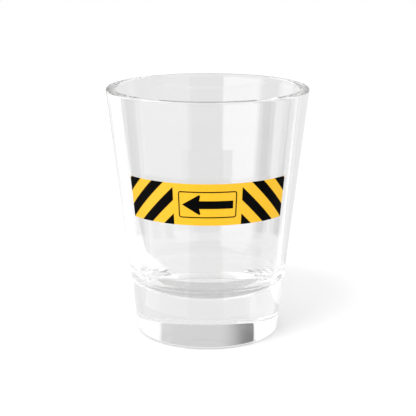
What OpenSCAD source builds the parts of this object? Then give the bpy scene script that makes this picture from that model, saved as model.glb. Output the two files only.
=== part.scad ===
// A heavy-based shot glass with a printed warning band: an arrow in a frame between slanted stripes.
// The glass stands on z = 0 on its own axis, and the arrow faces -Y.

/* [Glass] */
// Height from the table to the top of the rim
glass_h = 60; // [50:0.5:72]
// Diameter across the wall lines, carried up to the rim's height
rim_d = 48.6; // [40:0.2:60]
// Diameter across the wall lines, carried down to the table
base_d = 35; // [29:0.2:42]
// Thickness of the wall at the rim, measured level
rim_wall = 2.4; // [1.6:0.1:3.5]
// Thickness of the wall carried down to the middle of the cup's floor, measured level
foot_wall = 2.2; // [1.8:0.1:4]
// Thickness of the solid base under the middle of the cup's floor
base_t = 9.5; // [6:0.1:18]
// Radius of the dished floor of the cup
floor_bowl_r = 36; // [25:1:60]
// Radius of the corner between the floor and the wall inside the cup
floor_corner_r = 6.5; // [1.5:0.1:8]
// Radius of the rounded edge of the rim, outside
lip_out_r = 0.5; // [0.3:0.05:0.7]
// Radius of the rounded edge of the rim, inside
lip_in_r = 0.9; // [0.3:0.05:0.9]
// Radius of the rounded edge under the base
heel_r = 0.8; // [0.3:0.1:2]

/* [Printed band] */
// Length of the band round the glass
band_w = 40; // [33:0.5:50]
// Height of the band
band_h = 9.9; // [7.8:0.1:14]
// Height of the band's middle above the table
band_z = 36.4; // [28:0.1:41]
// Thickness of each layer of ink
ink_t = 0.04; // [0.03:0.01:0.1]
// Width of the plain middle of the band, between the two zones of stripes
panel_w = 15.8; // [11:0.1:22]

/* [Stripes] */
// Distance from one stripe to the next, measured up the band
stripe_pitch = 6.3; // [4.5:0.1:9]
// Height of a stripe, measured up the band
stripe_h = 3.05; // [2:0.05:4]
// Height of the top of the full stripe where it meets the plain middle
stripe_start = 8.9; // [4:0.1:12]

/* [Arrow and frame] */
// Gap between the outline round the arrow and the stripes beside it
frame_side_gap = 1.25; // [0.5:0.05:2]
// Gap between the outline and the band's upper and lower edges
frame_edge_gap = 1.8; // [0.5:0.1:2.4]
// Thickness of the outline's line
frame_line = 0.25; // [0.15:0.05:0.4]
// Radius of the outline's corners, outside
frame_corner_r = 0.6; // [0.5:0.1:1]
// Gap between the arrow's two ends and the outline's line
arrow_end_gap = 0.6; // [0.2:0.05:1.2]
// Gap between the outline's line and the corners of the arrow's head, before they are rounded
head_gap = 0.3; // [0.1:0.05:0.6]
// Length of the arrow's head along its middle
head_l = 3.9; // [2.5:0.1:5]
// Width of the arrow's shaft
shaft_w = 1.85; // [1:0.05:2.4]
// How far the back of the head leans in towards the shaft
head_sweep = 0.35; // [0:0.05:0.8]
// Radius of the two rounded barbs of the head
barb_r = 0.25; // [0.1:0.05:0.4]

/* [Hidden] */
$fn = 160;

// The outer wall is a straight cone: its radius at a height, and its lean from upright
outer_lean = atan((rim_d - base_d) / 2 / glass_h);
function wall_r(z) = base_d / 2 + z * tan(outer_lean);

// The inner wall is a straight cone too, up to the rim's inner edge
floor_r = wall_r(base_t) - foot_wall;
inner_lean = atan((rim_d / 2 - rim_wall - floor_r) / (glass_h - base_t));
function cup_r(z) = floor_r + (z - base_t) * tan(inner_lean);

// The lip has a round outside and a round inside, and a narrow flat between them at the rim's height.
// Each round touches that flat and its own wall
lip_out = [wall_r(glass_h - lip_out_r) - lip_out_r / cos(outer_lean), glass_h - lip_out_r];
lip_in = [cup_r(glass_h - lip_in_r) + lip_in_r / cos(inner_lean), glass_h - lip_in_r];
// The heel's round touches the table and the outer wall
heel = [wall_r(heel_r) - heel_r / cos(outer_lean), heel_r];
// The dished floor is a sphere. The corner's round touches the inner wall, so its centre runs up a line
// beside that wall, and it stops where its distance from the sphere's centre is the two radii's difference
bowl = [0, base_t + floor_bowl_r];
lean_t = tan(inner_lean);
corner_start = floor_r - floor_corner_r / cos(inner_lean);
half_b = floor_bowl_r - corner_start * lean_t;
rest_c = pow(corner_start, 2) + pow(floor_bowl_r, 2) - pow(floor_bowl_r - floor_corner_r, 2);
corner_rise = (half_b - sqrt(pow(half_b, 2) - (1 + lean_t * lean_t) * rest_c)) / (1 + lean_t * lean_t);
corner = [corner_start + corner_rise * lean_t, base_t + corner_rise];
// The direction from the sphere's centre to where the floor meets the corner
bowl_edge = atan2(corner[1] - bowl[1], corner[0]);
// A round of the section is followed in steps of about this many degrees
arc_step = 5;
// The points of an arc about its centre, from angle a0 to angle a1
function arc(centre, r, a0, a1) =
    let (n = ceil(abs(a1 - a0) / arc_step))
        [for (k = [0:n]) let (a = a0 + (a1 - a0) * k / n) centre + r * [cos(a), sin(a)]];

// The artwork is drawn flat, in millimetres, and wrapped at the band's middle radius
band_low = band_z - band_h / 2;
wrap_r = wall_r(band_z);
function degrees_round(u) = u / wrap_r * 180 / PI;
// Level thickness of one layer of ink on the leaning wall
layer_t = ink_t / cos(outer_lean);
// Order of the layers, counted out from the glass
white_layer = 0;
yellow_layer = 1;
black_layer = 2;
// A stripe's edge and the arrow's outline are followed in steps of about this length
wrap_step = 1.2;
// A rounded corner of the artwork is followed in this many steps
corner_steps = 6;
zone_w = (band_w - panel_w) / 2;
zone_mid = (band_w + panel_w) / 4;
// The stripes of a zone, counted up from the one that stripe_start places: the lowest and the highest
// that show
first_stripe = -ceil(stripe_start / stripe_pitch) + 1;
last_stripe = ceil((band_h + zone_w + stripe_h - stripe_start) / stripe_pitch) - 1;
// The outline fits inside the plain middle of the band, and the arrow inside the outline
frame_w = panel_w - 2 * frame_side_gap;
frame_h = band_h - 2 * frame_edge_gap;
arrow_l = frame_w - 2 * (frame_line + arrow_end_gap);
head_w = frame_h - 2 * (frame_line + head_gap);

// One layer of ink, as part of a thin cone: from u0 to u1 round the glass, over the band's height
module film(layer, u0, u1) {
    low = wall_r(band_low) + layer * layer_t;
    high = wall_r(band_low + band_h) + layer * layer_t;
    rotate([0, 0, degrees_round(u0) - 90])
        rotate_extrude(angle = degrees_round(u1 - u0))
            polygon([[low, band_low], [low + layer_t, band_low],
                [high + layer_t, band_low + band_h], [high, band_low + band_h]]);
}

// A point of the artwork, u round the glass and v up from the band's lower edge, as seen along the
// radius that passes through u_mid
function wrapped(p, u_mid) =
    [wall_r(band_low + p[1]) * sin(degrees_round(p[0] - u_mid)), band_low + p[1]];

// An outline with extra points along its straight sides, so that it bends with the glass
function stepped(points) = [
    for (i = [0:len(points) - 1])
        let (a = points[i], b = points[(i + 1) % len(points)], n = ceil(norm(b - a) / wrap_step))
            for (k = [0:n - 1]) a + (b - a) * k / n
];

// A bar that stands along the radius through u_mid, with a flat outline of the artwork as its section
module radial_bar(points, u_mid) {
    rotate([0, 0, degrees_round(u_mid)])
        rotate([90, 0, 0])
            linear_extrude(height = rim_d)
                polygon([for (p = stepped(points)) wrapped(p, u_mid)]);
}

// The points of a round of radius r in the corner b of an outline, whose neighbours are a and c
function round_corner(a, b, c, r) =
    let (
        to_a = (a - b) / norm(a - b), to_c = (c - b) / norm(c - b),
        half_angle = acos(to_a * to_c) / 2,
        centre = b + (to_a + to_c) / norm(to_a + to_c) * r / sin(half_angle),
        from = b + to_a * r / tan(half_angle) - centre, to = b + to_c * r / tan(half_angle) - centre
    ) [for (k = [0:corner_steps]) let (p = from + (to - from) * k / corner_steps) centre + p / norm(p) * r];

// The corner points of a rounded rectangle about the middle of the band
function rounded_outline(w, h, r) = [
    for (q = [[1, 1, 0], [-1, 1, 90], [-1, -1, 180], [1, -1, 270]], a = [0:90 / corner_steps:90])
        [q[0] * (w / 2 - r) + r * cos(a + q[2]), band_h / 2 + q[1] * (h / 2 - r) + r * sin(a + q[2])]
];

// The slanted stripes of one zone: side is -1 for the left zone, which climbs towards the middle
module stripes(side) {
    u_mid = side * zone_mid;
    for (i = [first_stripe:last_stripe]) {
        top = stripe_start + i * stripe_pitch;
        intersection() {
            film(black_layer, u_mid - zone_w / 2, u_mid + zone_w / 2);
            radial_bar([
                for (p = [[0, top], [0, top - stripe_h],
                    [-zone_w, top - stripe_h - zone_w], [-zone_w, top - zone_w]])
                    [-side * (p[0] - panel_w / 2), p[1]]
            ], u_mid);
        }
    }
}

// The half section as one outline, from the foot's middle out, up over the lip and down into the dished
// floor, turned round the axis
module glass() {
    color([0.86, 0.92, 0.93, 0.4])
        rotate_extrude() polygon(concat(
            [[0, 0]],
            arc(heel, heel_r, -90, -outer_lean),
            arc(lip_out, lip_out_r, -outer_lean, 90),
            arc(lip_in, lip_in_r, 90, 180 - inner_lean),
            arc(corner, floor_corner_r, -inner_lean, bowl_edge),
            arc(bowl, floor_bowl_r, bowl_edge, -90)
        ));
}

module white_base() {
    color("white") film(white_layer, -band_w / 2, band_w / 2);
}

module yellow_band() {
    color([1, 0.8, 0.2]) film(yellow_layer, -band_w / 2, band_w / 2);
}

module left_stripes() {
    color([0.05, 0.05, 0.05]) stripes(-1);
}

module right_stripes() {
    color([0.05, 0.05, 0.05]) stripes(1);
}

module arrow() {
    tip = [-arrow_l / 2, 0];
    barb = [tip[0] + head_l + head_sweep, head_w / 2];
    neck = [tip[0] + head_l, shaft_w / 2];
    tail = [arrow_l / 2, shaft_w / 2];
    upper = concat([tip], round_corner(tip, barb, neck, barb_r), [neck, tail]);
    lower = [for (i = [len(upper) - 1:-1:1]) [upper[i][0], -upper[i][1]]];
    color([0.05, 0.05, 0.05]) intersection() {
        film(black_layer, -frame_w / 2, frame_w / 2);
        radial_bar([for (p = concat(upper, lower)) p + [0, band_h / 2]], 0);
    }
}

module arrow_frame() {
    color([0.05, 0.05, 0.05]) intersection() {
        film(black_layer, -panel_w / 2, panel_w / 2);
        difference() {
            radial_bar(rounded_outline(frame_w, frame_h, frame_corner_r), 0);
            radial_bar(rounded_outline(frame_w - 2 * frame_line, frame_h - 2 * frame_line,
                frame_corner_r - frame_line), 0);
        }
    }
}

glass();
white_base();
yellow_band();
left_stripes();
right_stripes();
arrow();
arrow_frame();
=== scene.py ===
# %% [markdown]
# A shot glass with a printed warning band
#
# The object is one thick piece of pressed clear glass, with a thin band of ink printed on its wall.
# Clear glass shows little of its own: what the eye reads is the studio, bent and mirrored by it. So
# this lesson spends its care on three things. The glass is an exact smooth surface, the ink sits on it
# in real layers, and a small studio of bright and dark panels gives the glass something to show.

# %% Load the measured model
import math

import bmesh
import bpy
import numpy as np
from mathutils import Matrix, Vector


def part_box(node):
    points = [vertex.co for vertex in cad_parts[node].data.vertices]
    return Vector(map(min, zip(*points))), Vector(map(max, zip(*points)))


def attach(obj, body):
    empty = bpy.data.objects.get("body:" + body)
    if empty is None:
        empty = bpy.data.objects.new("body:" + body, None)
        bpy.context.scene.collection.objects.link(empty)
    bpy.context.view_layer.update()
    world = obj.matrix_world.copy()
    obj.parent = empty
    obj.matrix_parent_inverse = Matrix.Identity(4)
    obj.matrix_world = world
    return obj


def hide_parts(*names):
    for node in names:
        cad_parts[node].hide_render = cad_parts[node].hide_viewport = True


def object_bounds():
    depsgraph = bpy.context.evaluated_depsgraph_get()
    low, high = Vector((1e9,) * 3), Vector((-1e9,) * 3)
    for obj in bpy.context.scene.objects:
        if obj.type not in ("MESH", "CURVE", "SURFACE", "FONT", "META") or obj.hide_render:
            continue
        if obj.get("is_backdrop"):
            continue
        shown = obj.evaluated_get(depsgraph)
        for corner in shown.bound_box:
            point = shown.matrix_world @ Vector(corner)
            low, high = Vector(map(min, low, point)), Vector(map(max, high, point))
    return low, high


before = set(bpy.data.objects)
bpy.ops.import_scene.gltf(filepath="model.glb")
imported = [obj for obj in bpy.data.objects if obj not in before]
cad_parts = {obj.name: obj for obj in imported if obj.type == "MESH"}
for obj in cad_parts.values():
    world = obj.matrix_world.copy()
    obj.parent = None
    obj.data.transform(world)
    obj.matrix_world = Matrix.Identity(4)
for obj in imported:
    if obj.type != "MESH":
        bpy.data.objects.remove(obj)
cad_low, cad_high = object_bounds()
scene = bpy.context.scene
MM = 0.001
print("CAD box in mm:", [round((b - a) / MM, 2) for a, b in zip(cad_low, cad_high)])

# %% [markdown]
# The sizes of the glass
#
# The wall is a straight cone outside and another inside, so two radii and a lean give the radius at
# any height. The glass's height and the band's place are read from the model's own boxes. The sizes
# that no box shows, such as the thickness of the wall, are named here as the design has them.

# %% Sizes of the glass
glass_h = cad_high[2]
rim_r = 24.3 * MM
base_r = 17.5 * MM
rim_wall = 2.4 * MM
foot_wall = 2.2 * MM
base_t = 9.5 * MM
floor_bowl_r = 36 * MM
floor_corner_r = 6.5 * MM
heel_r = 0.8 * MM
lip_out_r = 0.5 * MM
lip_in_r = 0.9 * MM

outer_lean = math.atan((rim_r - base_r) / glass_h)


def wall_r(z):
    """Radius of the outer wall at height z: the radius at the foot, plus the height times the lean."""
    return base_r + z * math.tan(outer_lean)


floor_r = wall_r(base_t) - foot_wall
inner_lean = math.atan((rim_r - rim_wall - floor_r) / (glass_h - base_t))


def cup_r(z):
    """Radius of the cup's wall at height z: the floor's radius, plus the rise from there times the lean."""
    return floor_r + (z - base_t) * math.tan(inner_lean)


print("lean outside and inside:", [round(math.degrees(a), 2) for a in (outer_lean, inner_lean)], "degrees")

# %% [markdown]
# A mesh from arrays
#
# A surface here is a grid of points, worked out as whole numpy arrays. Typing vertices by hand or
# modelling with the mouse would hide the rule behind the shape. One helper numbers the faces of a grid,
# and another turns points and faces into a smooth object whose place is in its mesh.

# %% Grid faces and mesh objects
weld_distance = 0.0005 * MM


def grid_faces(rows, columns):
    """Quads of a grid: each joins a point to its neighbours along the row, then across to the next row."""
    i, j = np.meshgrid(np.arange(rows - 1), np.arange(columns - 1), indexing="ij")
    corner = i * columns + j
    return np.stack([corner, corner + 1, corner + columns + 1, corner + columns], -1).reshape(-1, 4)


def mesh_object(name, points, faces):
    """A smooth mesh object at the origin, from an (n, 3) array of points and an array of faces."""
    mesh = bpy.data.meshes.new(name)
    mesh.from_pydata(np.asarray(points, float).tolist(), [], np.asarray(faces).tolist())
    mesh.polygons.foreach_set("use_smooth", np.full(len(mesh.polygons), True))
    mesh.update()
    obj = bpy.data.objects.new(name, mesh)
    scene.collection.objects.link(obj)
    return obj


def weld(obj):
    """Merges points that lie together, so that seams and poles are closed, and turns a closed mesh's faces
    outwards.
    """
    edit = bmesh.new()
    edit.from_mesh(obj.data)
    bmesh.ops.remove_doubles(edit, verts=edit.verts, dist=weld_distance)
    bmesh.ops.dissolve_degenerate(edit, edges=edit.edges, dist=weld_distance)
    open_edges = sum(edge.is_boundary for edge in edit.edges)
    if open_edges == 0:
        bmesh.ops.recalc_face_normals(edit, faces=edit.faces)
    edit.to_mesh(obj.data)
    edit.free()
    print(obj.name, "has", len(obj.data.vertices), "points and", open_edges, "open edges")
    return obj


# %% [markdown]
# The glass
#
# A real shot glass is pressed: a mould makes the outside, a plunger makes the cup with its dished
# floor, and a flame rounds the rim. It could be a cylinder with a bevel, but the eye reads every facet
# of a lens. So it is a half section of straight lines and true arcs, turned round the axis. The flame
# leaves a small round on each edge of the rim, with a narrow flat between them.

# %% The half section
def arc(centre, radius, start, stop, count):
    """Points of an arc: the centre plus the radius times (cos, sin) of evenly spaced angles."""
    t = np.linspace(start, stop, count)
    return np.column_stack([centre[0] + radius * np.cos(t), centre[1] + radius * np.sin(t)])


def line(a, b, count):
    """Points spaced evenly between a and b, without the two ends."""
    t = np.linspace(0, 1, count + 2)[1:-1, None]
    return np.asarray(a) + (np.asarray(b) - np.asarray(a)) * t


def floor_corner():
    """Centre of the round between the inner wall and the dished floor.

    It lies on a line beside the inner wall, one corner radius in, at the height where its distance from
    the floor's centre is the difference of the two radii: the smaller root of a quadratic.
    """
    lean = math.tan(inner_lean)
    start = floor_r - floor_corner_r / math.cos(inner_lean)
    half_b = floor_bowl_r - start * lean
    rest = start ** 2 + floor_bowl_r ** 2 - (floor_bowl_r - floor_corner_r) ** 2
    rise = (half_b - math.sqrt(half_b ** 2 - (1 + lean ** 2) * rest)) / (1 + lean ** 2)
    return start + rise * lean, base_t + rise


# how many points each run of the section gets
foot_steps, heel_steps, wall_steps = 12, 14, 40
lip_out_steps, lip_flat_steps, lip_in_steps = 30, 4, 40
corner_steps, floor_steps = 40, 50


def glass_profile():
    """Radius and height of each point, from the foot's centre out, up, over the lip and down."""
    quarter = math.pi / 2
    lip_out = (wall_r(glass_h - lip_out_r) - lip_out_r / math.cos(outer_lean), glass_h - lip_out_r)
    lip_in = (cup_r(glass_h - lip_in_r) + lip_in_r / math.cos(inner_lean), glass_h - lip_in_r)
    heel = (wall_r(heel_r) - heel_r / math.cos(outer_lean), heel_r)
    corner = floor_corner()
    bowl = (0, base_t + floor_bowl_r)
    edge = math.atan2(corner[1] - bowl[1], corner[0])
    heel_arc = arc(heel, heel_r, -quarter, -outer_lean, heel_steps)
    out_arc = arc(lip_out, lip_out_r, -outer_lean, quarter, lip_out_steps)
    in_arc = arc(lip_in, lip_in_r, quarter, math.pi - inner_lean, lip_in_steps)
    corner_arc = arc(corner, floor_corner_r, -inner_lean, edge, corner_steps)
    floor_arc = arc(bowl, floor_bowl_r, edge, -quarter, floor_steps)[1:]
    foot = [(0, 0)]
    return np.vstack([
        foot, line(foot[0], heel_arc[0], foot_steps), heel_arc,
        line(heel_arc[-1], out_arc[0], wall_steps), out_arc,
        line(out_arc[-1], in_arc[0], lip_flat_steps), in_arc,
        line(in_arc[-1], corner_arc[0], wall_steps), corner_arc, floor_arc,
    ])


def turned(profile, around):
    """The profile turned round Z: x is r cos t, y is r sin t, and z stays."""
    t = np.linspace(0, 2 * np.pi, around + 1)
    r, z = profile[:, :1], profile[:, 1:]
    points = np.stack([r * np.cos(t), r * np.sin(t), z + 0 * t], axis=-1).reshape(-1, 3)
    return points, grid_faces(len(profile), around + 1)


points_around = 320
glass = weld(mesh_object("glass_body", *turned(glass_profile(), points_around)))

# %% [markdown]
# The printed band
#
# Ink on a curved wall is screen printed: a white ground first, so that the colours stay bright on clear
# glass, then yellow, then black. A picture wrapped on the glass would have no thickness. Here each
# shape is drawn flat as a grid, with u round the glass and v up it, then wrapped on the cone and given
# the thickness of its layer by a Solidify modifier.

# %% Sizes of the artwork
band_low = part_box("yellow_band")[0][2]
band_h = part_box("yellow_band")[1][2] - band_low
wrap_r = wall_r(band_low + band_h / 2)
ink_t = 0.04 * MM
band_w = 40 * MM
panel_w = 15.8 * MM
stripe_pitch = 6.3 * MM
stripe_h = 3.05 * MM
stripe_start = 8.9 * MM
frame_side_gap = 1.25 * MM
frame_edge_gap = 1.8 * MM
frame_line = 0.25 * MM
frame_corner_r = 0.6 * MM
arrow_end_gap = 0.6 * MM
head_gap = 0.3 * MM
frame_w = panel_w - 2 * frame_side_gap
frame_h = band_h - 2 * frame_edge_gap
arrow_l = frame_w - 2 * (frame_line + arrow_end_gap)
head_w = frame_h - 2 * (frame_line + head_gap)
head_l = 3.9 * MM
shaft_w = 1.85 * MM
head_sweep = 0.35 * MM
barb_r = 0.25 * MM
print("band is", round(band_w / MM, 1), "by", round(band_h / MM, 1), "mm, arrow", round(arrow_l / MM, 1))


# %% Wrapping a flat drawing on the cone
def wrapped(grid, out):
    """Places flat points on the wall: the angle is u over the wrap radius, and the height is band_low + v.

    The radius is the wall's at that height plus out, and angle zero faces -Y.
    """
    angle, z = grid[..., 0] / wrap_r, band_low + grid[..., 1]
    r = wall_r(z) + out
    return np.stack([r * np.sin(angle), -r * np.cos(angle), z], -1).reshape(-1, 3)


def ink_piece(name, grids, out, thickness):
    """One layer of ink: the grids wrapped at height out over the glass, welded, and made thick outwards."""
    counts = np.cumsum([0] + [grid.shape[0] * grid.shape[1] for grid in grids])
    faces = [grid_faces(*grid.shape[:2]) + start for grid, start in zip(grids, counts)]
    piece = weld(mesh_object(name, np.vstack([wrapped(grid, out) for grid in grids]), np.vstack(faces)))
    wall = piece.modifiers.new("thickness", "SOLIDIFY")
    wall.thickness = thickness
    wall.offset = 1
    wall.use_even_offset = True
    soft = piece.modifiers.new("soft edge", "BEVEL")
    soft.width = ink_t / 4
    soft.segments = 2
    soft.limit_method = "ANGLE"
    soft.harden_normals = True
    return piece


def between(low, high, steps):
    """A grid that runs from the curve low to the curve high, each an (n, 2) array: a ruled surface."""
    t = np.linspace(0, 1, steps + 1)[:, None, None]
    return low + (high - low) * t


# %% [markdown]
# White ground and yellow layer
#
# The two grounds are plain rectangles bent round the glass. Real ink wets the glass with no air between
# them, so the white layer starts a hair inside the wall: seen from behind, through the glass, it is
# then an unbroken matt patch and never flickers against the wall.

# %% The two grounds
contact = 0.02 * MM
across = np.linspace(-band_w / 2, band_w / 2, 201)
lower_edge = np.column_stack([across, 0 * across])
upper_edge = np.column_stack([across, 0 * across + band_h])
ground = between(lower_edge, upper_edge, 24)
white = ink_piece("white_ground", [ground], -contact, ink_t + contact)
yellow = ink_piece("yellow_ink", [ground], ink_t, ink_t)

# %% [markdown]
# Slanted stripes
#
# Each stripe is a slanted bar, cut off by the edges of its zone. A boolean cut would leave ragged
# corners in so thin a sheet. Along u the stripe's lower and upper lines are simply clipped to the
# band's height, with a column at each place where a line meets an edge, so the cut corners stay sharp.

# %% The stripes of one zone
def stripe(top, side):
    """One stripe: v lies between two lines at 45 degrees, each clipped between zero and the band's height.

    The lines climb towards the middle of the band, and side is -1 for the left zone and 1 for the right.
    """
    inner, outer = panel_w / 2, band_w / 2
    kinks = inner + np.array([top - stripe_h - band_h, top - band_h, top - stripe_h, top])
    first, last = max(inner, kinks[0]), min(outer, kinks[3])
    u = np.unique(np.clip(np.concatenate([np.linspace(first, last, 45), kinks]), first, last))
    climb = top - (u - inner)
    low = np.column_stack([side * u, np.clip(climb - stripe_h, 0, band_h)])
    high = np.column_stack([side * u, np.clip(climb, 0, band_h)])
    return between(low, high, 12)[:, ::side]


zone_w = (band_w - panel_w) / 2
first_stripe = 1 - math.ceil(stripe_start / stripe_pitch)
last_stripe = math.ceil((band_h + zone_w + stripe_h - stripe_start) / stripe_pitch) - 1
tops = [stripe_start + i * stripe_pitch for i in range(first_stripe, last_stripe + 1)]
left_stripes = ink_piece("left_stripe_ink", [stripe(top, -1) for top in tops], 2 * ink_t, ink_t)
right_stripes = ink_piece("right_stripe_ink", [stripe(top, 1) for top in tops], 2 * ink_t, ink_t)
print("stripes in a zone:", len(tops))

# %% [markdown]
# Arrow and outline
#
# The arrow could be a polygon filled with triangles, but those would lie flat under the curve of the
# glass. Read row by row, it is simpler: at each v the head runs from its slanted front edge to its back
# edge, and the shaft from there to the tail. Both grids share their points where they meet.

# %% The arrow
def arrow_grids():
    """The head and the shaft as two grids, with a row at each v and the columns along u.

    With away the distance from the band's middle line, the front edge is tip + front_slope * away, and
    the back edge is neck + back_slope * (away - shaft) beyond the shaft. The barb's circle touches both:
    its centre is one radius from each line, and each edge follows it from the point where it touches.
    """
    mid, half, shaft = band_h / 2, head_w / 2, shaft_w / 2
    tip, neck, tail = -arrow_l / 2, -arrow_l / 2 + head_l, arrow_l / 2
    front_slope, back_slope = (head_l + head_sweep) / half, head_sweep / (half - shaft)
    front_len, back_len = math.hypot(1, front_slope), math.hypot(1, back_slope)
    reach = half - barb_r * (front_len + back_len) / (front_slope - back_slope)
    centre_u = tip + front_slope * reach + barb_r * front_len
    swing = np.linspace(-np.pi / 2, np.pi / 2, 13)
    away = np.concatenate([
        np.linspace(0, shaft, 7), np.linspace(shaft, reach - barb_r, 13)[1:],
        reach + barb_r * np.sin(swing)[1:],
    ])
    chord = np.sqrt(np.maximum(barb_r ** 2 - (away - reach) ** 2, 0))
    past_front = away > reach + barb_r * front_slope / front_len
    past_back = away > reach - barb_r * back_slope / back_len
    front = np.where(past_front, centre_u - chord, tip + front_slope * away)
    back = np.where(past_back, centre_u + chord, neck + back_slope * np.maximum(away - shaft, 0))
    v = np.concatenate([mid - away[:0:-1], mid + away])
    front, back = [np.concatenate([edge[:0:-1], edge]) for edge in (front, back)]
    head = between(np.column_stack([front, v]), np.column_stack([back, v]), 16).transpose(1, 0, 2)
    on_shaft = v[np.abs(v - mid) < shaft + weld_distance]
    ends = [np.column_stack([0 * on_shaft + u, on_shaft]) for u in (neck, tail)]
    return [head, between(*ends, 40).transpose(1, 0, 2)]


arrow = ink_piece("arrow_ink", arrow_grids(), 2 * ink_t, ink_t)


# %% The outline round the arrow
def rounded_path(width, height, radius):
    """A closed rounded rectangle about the band's middle, anticlockwise: a quarter arc, then a side."""
    x, y = width / 2 - radius, height / 2 - radius
    arcs = [
        arc(centre, radius, math.radians(start), math.radians(start + 90), 9)
        for centre, start in (((x, -y), -90), ((x, y), 0), ((-x, y), 90), ((-x, -y), 180))
    ]
    sides = [line(arcs[k][-1], arcs[(k + 1) % 4][0], 12 + 48 * (k % 2)) for k in range(4)]
    runs = [run for pair in zip(arcs, sides) for run in pair]
    return np.vstack(runs + [arcs[0][:1]]) + [0, band_h / 2]


outer_path = rounded_path(frame_w, frame_h, frame_corner_r)
inner_path = rounded_path(frame_w - 2 * frame_line, frame_h - 2 * frame_line, frame_corner_r - frame_line)
outline = ink_piece("outline_ink", [between(outer_path, inner_path, 2)], 2 * ink_t, ink_t)

# %% [markdown]
# Standing in for the design's nodes
#
# The design keeps a plain solid for each piece, which the physics uses. Each finer piece made here
# replaces one of them, rides on the same body and takes its finish from the same material slot.

# %% Which piece stands for which node
PIECES = [
    (glass, "glass", "clear_glass"),
    (white, "white_base", "white_ink"),
    (yellow, "yellow_band", "yellow_ink"),
    (left_stripes, "left_stripes", "black_ink"),
    (right_stripes, "right_stripes", "black_ink"),
    (arrow, "arrow", "black_ink"),
    (outline, "arrow_frame", "black_ink"),
]
for piece, node, slot in PIECES:
    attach(piece, "root")
    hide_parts(node)
print(len(PIECES), "pieces ride on the root body")

# %% [markdown]
# Shader maths as expressions
#
# A pattern is a chain of small sums on sockets. Added by hand, node by node, it can't be read. One
# small class wraps a socket so that ordinary operators add the Math nodes, and another adds any node
# from its type, its settings and the values or links of its sockets.

# %% Sockets that can be added and multiplied
class Value:
    """The output of a node inside a finish. Each operator adds one Math node and gives its output."""

    def __init__(self, finish, socket):
        self.finish, self.socket = finish, socket

    def __add__(self, other):
        return self.finish.maths("ADD", self, other)

    def __sub__(self, other):
        return self.finish.maths("SUBTRACT", self, other)

    def __rsub__(self, other):
        return self.finish.maths("SUBTRACT", other, self)

    def __mul__(self, other):
        return self.finish.maths("MULTIPLY", self, other)

    def __pow__(self, other):
        return self.finish.maths("POWER", self, other)

    __radd__, __rmul__ = __add__, __mul__


class Finish:
    """A material being written: its nodes are added here, and its last one is the Principled shader."""

    def __init__(self, name):
        self.material = bpy.data.materials.new(name)
        self.material.use_nodes = True
        self.tree = self.material.node_tree
        self.shader = self.tree.nodes["Principled BSDF"]
        self.place = Value(self, self.tree.nodes.new("ShaderNodeTexCoord").outputs["Object"])

    def put(self, socket, value):
        """Links a Value to a socket, or sets the socket to a plain number or colour."""
        if isinstance(value, Value):
            self.tree.links.new(value.socket, socket)
        else:
            socket.default_value = value

    def node(self, kind, settings, inputs, output=0):
        """Adds a node of this kind: its settings first, then its sockets by name or number."""
        made = self.tree.nodes.new("ShaderNode" + kind)
        for name, value in settings.items():
            setattr(made, name, value)
        for key, value in inputs.items():
            self.put(made.inputs[key], value)
        return Value(self, made.outputs[output])

    def maths(self, operation, *values):
        return self.node("Math", {"operation": operation}, dict(enumerate(values)))

    def noise(self, size, detail=2.0):
        """Soft noise between 0 and 1, whose blotches are about size across, in metres."""
        return self.node("TexNoise", {}, {"Vector": self.place, "Scale": 1 / size, "Detail": detail})

    def mix(self, factor, low, high):
        """A colour that goes from low to high as the factor goes from 0 to 1."""
        return self.node("Mix", {"data_type": "RGBA"}, {0: factor, 6: (*low, 1), 7: (*high, 1)}, 2)

    def bump(self, height, depth):
        """A normal tilted by a height from 0 to 1, where 1 stands depth metres proud."""
        return self.node("Bump", {}, {"Height": height, "Distance": depth})

    def surface(self, inputs):
        """Sets the sockets of the Principled shader and gives the material."""
        for name, value in inputs.items():
            self.put(self.shader.inputs[name], value)
        return self.material


# %% [markdown]
# Clear glass
#
# Pressed glass isn't as flat as a window: the hot mould leaves slow ripples a few millimetres across,
# and the fire polish leaves the surface itself bright. The ripples are a bump on a mirror-smooth
# transmitting shader. A tint in the surface colour stands for the trace of iron in soda-lime glass.

# %% The glass finish
ripple_depth = 0.012 * MM
index_of_glass = 1.51


def clear_glass():
    """Clear glass with slow and quick ripples, and the faint haze that handling leaves in small patches."""
    f = Finish("clear_glass_finish")
    ripple = f.noise(9 * MM, 1.0) * 0.7 + f.noise(3 * MM, 2.0) * 0.3
    handling = f.noise(5 * MM, 4.0) ** 4
    return f.surface({
        "Base Color": f.mix(f.noise(12 * MM), (0.946, 0.947, 0.946), (0.956, 0.956, 0.955)),
        "Roughness": handling * 0.012,
        "Transmission Weight": 1.0,
        "IOR": index_of_glass,
        "Normal": f.bump(ripple, ripple_depth),
    })


# %% [markdown]
# Printing ink
#
# Screen-printed ink is pushed through a woven mesh and levels out before it cures, so it keeps a trace of
# the weave, a soft mottle of thicker and thinner ink, and a satin shine that varies with it. The weave
# runs round the glass and up it, so its first coordinate is the angle times the radius.

# %% The ink finishes
weave_pitch = 0.22 * MM
relief_depth = 0.0035 * MM


def ink(name, thin, thick, shine, rough):
    """Ink whose colour goes from thin to thick with its mottle, with the weave and mottle as relief."""
    f = Finish(name)
    x, y, z = [
        f.node("SeparateXYZ", {}, {"Vector": f.place}, axis) for axis in range(3)
    ]
    round_glass = f.maths("ARCTAN2", x, 0 - y) * wrap_r
    turn = 2 * math.pi / weave_pitch
    weave = f.maths("SINE", round_glass * turn) * f.maths("SINE", z * turn) * 0.5 + 0.5
    mottle = f.noise(1.6 * MM, 4.0)
    relief = weave * 0.3 + f.noise(0.6 * MM, 3.0) * 0.7
    return f.surface({
        "Base Color": f.mix(mottle, thin, thick),
        "Roughness": mottle * 0.12 + weave * 0.04 + rough,
        "Specular IOR Level": shine,
        "Normal": f.bump(relief, relief_depth),
    })


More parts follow.
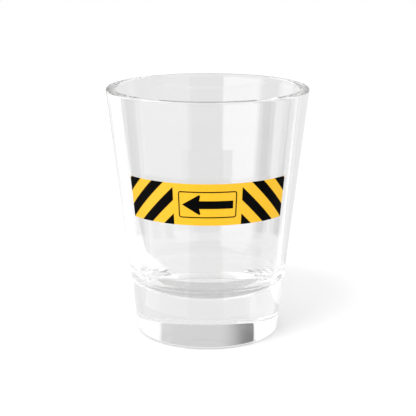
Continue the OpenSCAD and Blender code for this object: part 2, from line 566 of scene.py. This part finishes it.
FINISHES = {
    "clear_glass": clear_glass(),
    "white_ink": ink("white_ink_finish", (0.80, 0.80, 0.78), (0.86, 0.86, 0.84), 0.4, 0.35),
    "yellow_ink": ink("yellow_ink_finish", (0.92, 0.50, 0.010), (0.96, 0.56, 0.015), 0.2, 0.3),
    "black_ink": ink("black_ink_finish", (0.001, 0.001, 0.001), (0.002, 0.002, 0.002), 0.02, 0.25),
}
for piece, node, slot in PIECES:
    piece.data.materials.append(FINISHES[slot])
print("finishes:", sorted(FINISHES))

# %% [markdown]
# The studio
#
# A glass on a white ground vanishes unless something other than white is near it. In a glass studio the
# piece stands on a pale light table, with soft panels beside it, dark flags between them and cards on the
# table, and each edge between light and dark draws a line down the glass. The back of the wall
# mirrors what stands upright; the front of the wall, which leans over, mirrors what lies on the table.
# So there is a ring of upright panels and a ring of cards that lie flat in front of them. They could be
# lamps, but a glowing sheet has the clean edges that the glass should draw.

# %% What a sheet gives off
def glow_finish(name, colour, strength):
    """A matt black surface that gives off light of this colour and strength."""
    return Finish(name).surface({
        "Base Color": (0, 0, 0, 1),
        "Specular IOR Level": 0.0,
        "Emission Color": colour,
        "Emission Strength": strength,
    })


def fading_finish(name, start, end, strength):
    """A glow that falls smoothly to a quarter of its strength as x goes from start to end."""
    f = Finish(name)
    x = f.node("SeparateXYZ", {}, {"Vector": f.place})
    along = f.node("MapRange", {"interpolation_type": "SMOOTHSTEP"}, {
        "Value": x, "From Min": start, "From Max": end,
    })
    return f.surface({
        "Base Color": (0, 0, 0, 1),
        "Specular IOR Level": 0.0,
        "Emission Color": f.mix(along, (1, 1, 1), (0.25, 0.25, 0.25)),
        "Emission Strength": strength,
    })


# %% Panels and cards
ring_r = 280 * MM
card_lift = 0.5 * MM
sheet_columns = 33
white_light = (1, 1, 1, 1)


def sheet(name, left, right, low_edge, high_edge, finish):
    """A bent sheet of light: radius and height run from one edge to the other, azimuth from left to right.

    Azimuth is in degrees from the front towards +X. A sheet is seen only through the glass or in a
    shine: the camera and the table don't see it, and it throws no shadow.
    """
    azimuth, t = np.meshgrid(np.radians(np.linspace(left, right, sheet_columns)), [0, 1])
    r, z = [a + (b - a) * t for a, b in zip(low_edge, high_edge)]
    points = np.stack([r * np.sin(azimuth), -r * np.cos(azimuth), z], -1).reshape(-1, 3)
    made = mesh_object(name, points, grid_faces(2, sheet_columns))
    made.data.materials.append(finish)
    made.visible_camera = False
    made.visible_diffuse = False
    made.visible_shadow = False
    made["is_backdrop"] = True


# upright: name, left and right edge in degrees, low and high edge in millimetres, glow
PANELS = [
    ("left_softbox", -76, -22, 0, 200, 2.3),
    ("front_flag", -20, 24, 0, 100, 0.3),
    ("right_reflector", 26, 58, 0, 100, 0.85),
    ("right_panel", 59, 112, 0, 90, 0.7),
    ("left_flag", -112, -78, 0, 90, 0.45),
    ("back_left_softbox", -150, -114, 0, 100, 1.6),
    ("back_left_panel", -150, -114, 100, 200, 1.25),
    ("back_right_panel", 114, 150, 0, 200, 1.1),
    ("back_low_panel", 128, 208, 0, 84, 0.86),
    ("back_panel", 152, 184, 85, 160, 0.65),
]
for name, left, right, low, high, glow in PANELS:
    finish = glow_finish(name + "_glow", white_light, glow)
    sheet(name, left, right, (ring_r, low * MM), (ring_r, high * MM), finish)

# the back panel goes on with a fade towards the left, which darkens one end of the mirror in the foot
fade = fading_finish("back_flag_fade", -25 * MM, -120 * MM, 0.65)
sheet("back_flag", 184, 208, (ring_r, 85 * MM), (ring_r, 160 * MM), fade)

# lying on the table: name, left and right edge in degrees, near and far edge in millimetres, glow
CARDS = [
    ("left_card", -84, -22, 30, 280, 1.85),
    ("left_dark_card", -110, -86, 75, 280, 0.6),
    ("right_card", 18, 60, 30, 280, 1.75),
    ("right_dark_card", 62, 78, 75, 280, 0.1),
    ("far_right_dark_card", 90, 112, 75, 280, 0.4),
    ("back_card", 128, 208, 19, 280, 0.85),
]
for name, left, right, near, far, glow in CARDS:
    finish = glow_finish(name + "_glow", white_light, glow)
    sheet(name, left, right, (near * MM, card_lift), (far * MM, card_lift), finish)
print(len(PANELS) + 1, "panels and", len(CARDS), "cards stand within", ring_r, "m of the glass")

# %% [markdown]
# Table, key light and sky
#
# The table glows a little, as a light table does, so that it stays white. A soft key light stands high in
# front, to the left, and throws the one faint shadow to the right and back. It could be a sun, but a disk
# near by gives the shadow its soft end. A pale sky fills the rest.

# %% Table, key light and sky
table_half = 3.0
table_gap = 0.06 * MM

table = mesh_object("table", np.array([
    [-1, -1, 0], [1, -1, 0], [1, 1, 0], [-1, 1, 0]
]) * table_half - [0, 0, table_gap], [[0, 1, 2, 3]])
table_finish = Finish("table_finish").surface({
    "Base Color": (0.8, 0.8, 0.8, 1),
    "Roughness": 0.8,
    "Specular IOR Level": 0.0,
    "Emission Color": white_light,
    "Emission Strength": 0.25,
})
table.data.materials.append(table_finish)
table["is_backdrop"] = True

key = bpy.data.lights.new("key_light", "AREA")
key.shape = "DISK"
key.size = 0.36
key.energy = 2.4
key_light = bpy.data.objects.new("key_light", key)
key_light.location = (-0.26, -0.34, 0.75)
key_light.rotation_euler = Vector(key_light.location).to_track_quat("Z", "Y").to_euler()
key_light.visible_glossy = False
key_light.visible_transmission = False
scene.collection.objects.link(key_light)

sky = bpy.data.worlds.new("studio_sky")
sky.use_nodes = True
sky.node_tree.nodes["Background"].inputs["Color"].default_value = white_light
sky.node_tree.nodes["Background"].inputs["Strength"].default_value = 0.9
scene.world = sky
print("the table is", 2 * table_half, "m across and the key light is", key.size, "m")

# %% [markdown]
# Long light paths
#
# Light that enters the lip is guided down inside the wall and bounces dozens of times before it leaves.
# With Blender's usual limit of a dozen bounces those paths end early and the rim goes black, so the
# limits are raised. The plain view transform keeps the white of the table white.

# %% Light paths and view
path_limit = 128
scene.cycles.max_bounces = path_limit
scene.cycles.transmission_bounces = path_limit
scene.cycles.glossy_bounces = path_limit
scene.cycles.diffuse_bounces = 4
scene.view_settings.view_transform = "Standard"
print("a light path may bounce", path_limit, "times")

# %% [markdown]
# The camera
#
# A long lens looks a little down on the glass, so that the rim shows as an open oval and the sides keep
# their taper without strong perspective. It stands straight in front, where the arrow faces.

# %% The camera
lens = bpy.data.cameras.new("camera")
lens.sensor_width = 36
lens.lens = 95.1
lens.shift_x = 0.001
lens.clip_start = 0.01
camera = bpy.data.objects.new("camera", lens)
camera.location = (0, -260.7 * MM, 98.5 * MM)
camera.rotation_euler = (math.radians(90 - 14.71), 0, 0)
scene.collection.objects.link(camera)
scene.camera = camera
print("the camera stands", round(-camera.location.y / MM), "mm in front and looks down 14.7 degrees")

# %% [markdown]
# The two boxes
#
# The finished model has to keep the design's size, so both boxes are gathered side by side, and the
# visual box is printed in millimetres.

# %% Sizes of the design and of the built model
boxes = {"cad": [list(v) for v in (cad_low, cad_high)], "visual": [list(v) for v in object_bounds()]}
print("visual box in mm:", [round((b - a) / MM, 2) for a, b in zip(*boxes["visual"])])
